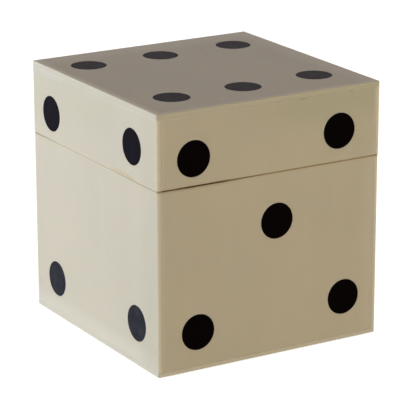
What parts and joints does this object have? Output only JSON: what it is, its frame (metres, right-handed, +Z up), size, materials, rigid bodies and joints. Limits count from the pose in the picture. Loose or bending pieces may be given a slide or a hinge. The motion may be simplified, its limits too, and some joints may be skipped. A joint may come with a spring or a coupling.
{
  "type": "dice box with hinged lid",
  "caption": "Square wooden box shaped like a die, dressed in polished ivory-coloured sheets with inlaid black pips, with a felt-lined inside and a lid hinged at the back.",
  "frame": {"origin": "centre of the felt underside that the closed box stands on", "axes": "+Z up; -Y out of the front, the face with five pips, opposite the hinges; +X to the right as seen from the front"},
  "size_m": [0.1464, 0.1479, 0.153],
  "materials": {
    "polished_sheet": "polished bone-coloured resin sheet with a soft gloss",
    "pip": "polished black resin",
    "stained_wood": "dark brown stain, satin",
    "felt": "black wool felt",
    "hinge_brass": "lacquered brass, slightly dulled",
    "hinge_screw": "turned brass"
  },
  "bodies": {
    "base": {"base_front_board": "stained_wood", "base_right_board": "stained_wood", "base_back_board": "stained_wood", "base_left_board": "stained_wood", "base_floor_panel": "stained_wood", "base_front_sheet": "polished_sheet", "base_right_sheet": "polished_sheet", "base_back_sheet": "polished_sheet", "base_left_sheet": "polished_sheet", "base_bottom_sheet": "polished_sheet", "base_front_pips": "pip", "base_right_pips": "pip", "base_back_pips": "pip", "base_left_pips": "pip", "base_lining": "felt", "base_felt_foot": "felt", "hinge_left_lower_leaf": "hinge_brass", "hinge_right_lower_leaf": "hinge_brass", "hinge_left_pin": "hinge_brass", "hinge_right_pin": "hinge_brass", "base_hinge_screws": "hinge_screw"},
    "lid": {"lid_front_board": "stained_wood", "lid_right_board": "stained_wood", "lid_back_board": "stained_wood", "lid_left_board": "stained_wood", "lid_panel": "stained_wood", "lid_front_sheet": "polished_sheet", "lid_right_sheet": "polished_sheet", "lid_back_sheet": "polished_sheet", "lid_left_sheet": "polished_sheet", "lid_top_sheet": "polished_sheet", "lid_front_pips": "pip", "lid_right_pips": "pip", "lid_back_pips": "pip", "lid_left_pips": "pip", "lid_top_pips": "pip", "lid_lining": "felt", "hinge_left_upper_leaf": "hinge_brass", "hinge_right_upper_leaf": "hinge_brass", "lid_hinge_screws": "hinge_screw"}
  },
  "joints": [
    {"name": "lid_hinge", "type": "hinge", "parent": "base", "child": "lid", "pos_m": [0, 0.0723, 0.1095], "axis": [-1, 0, 0], "range_deg": [0, 97]}
  ]
}
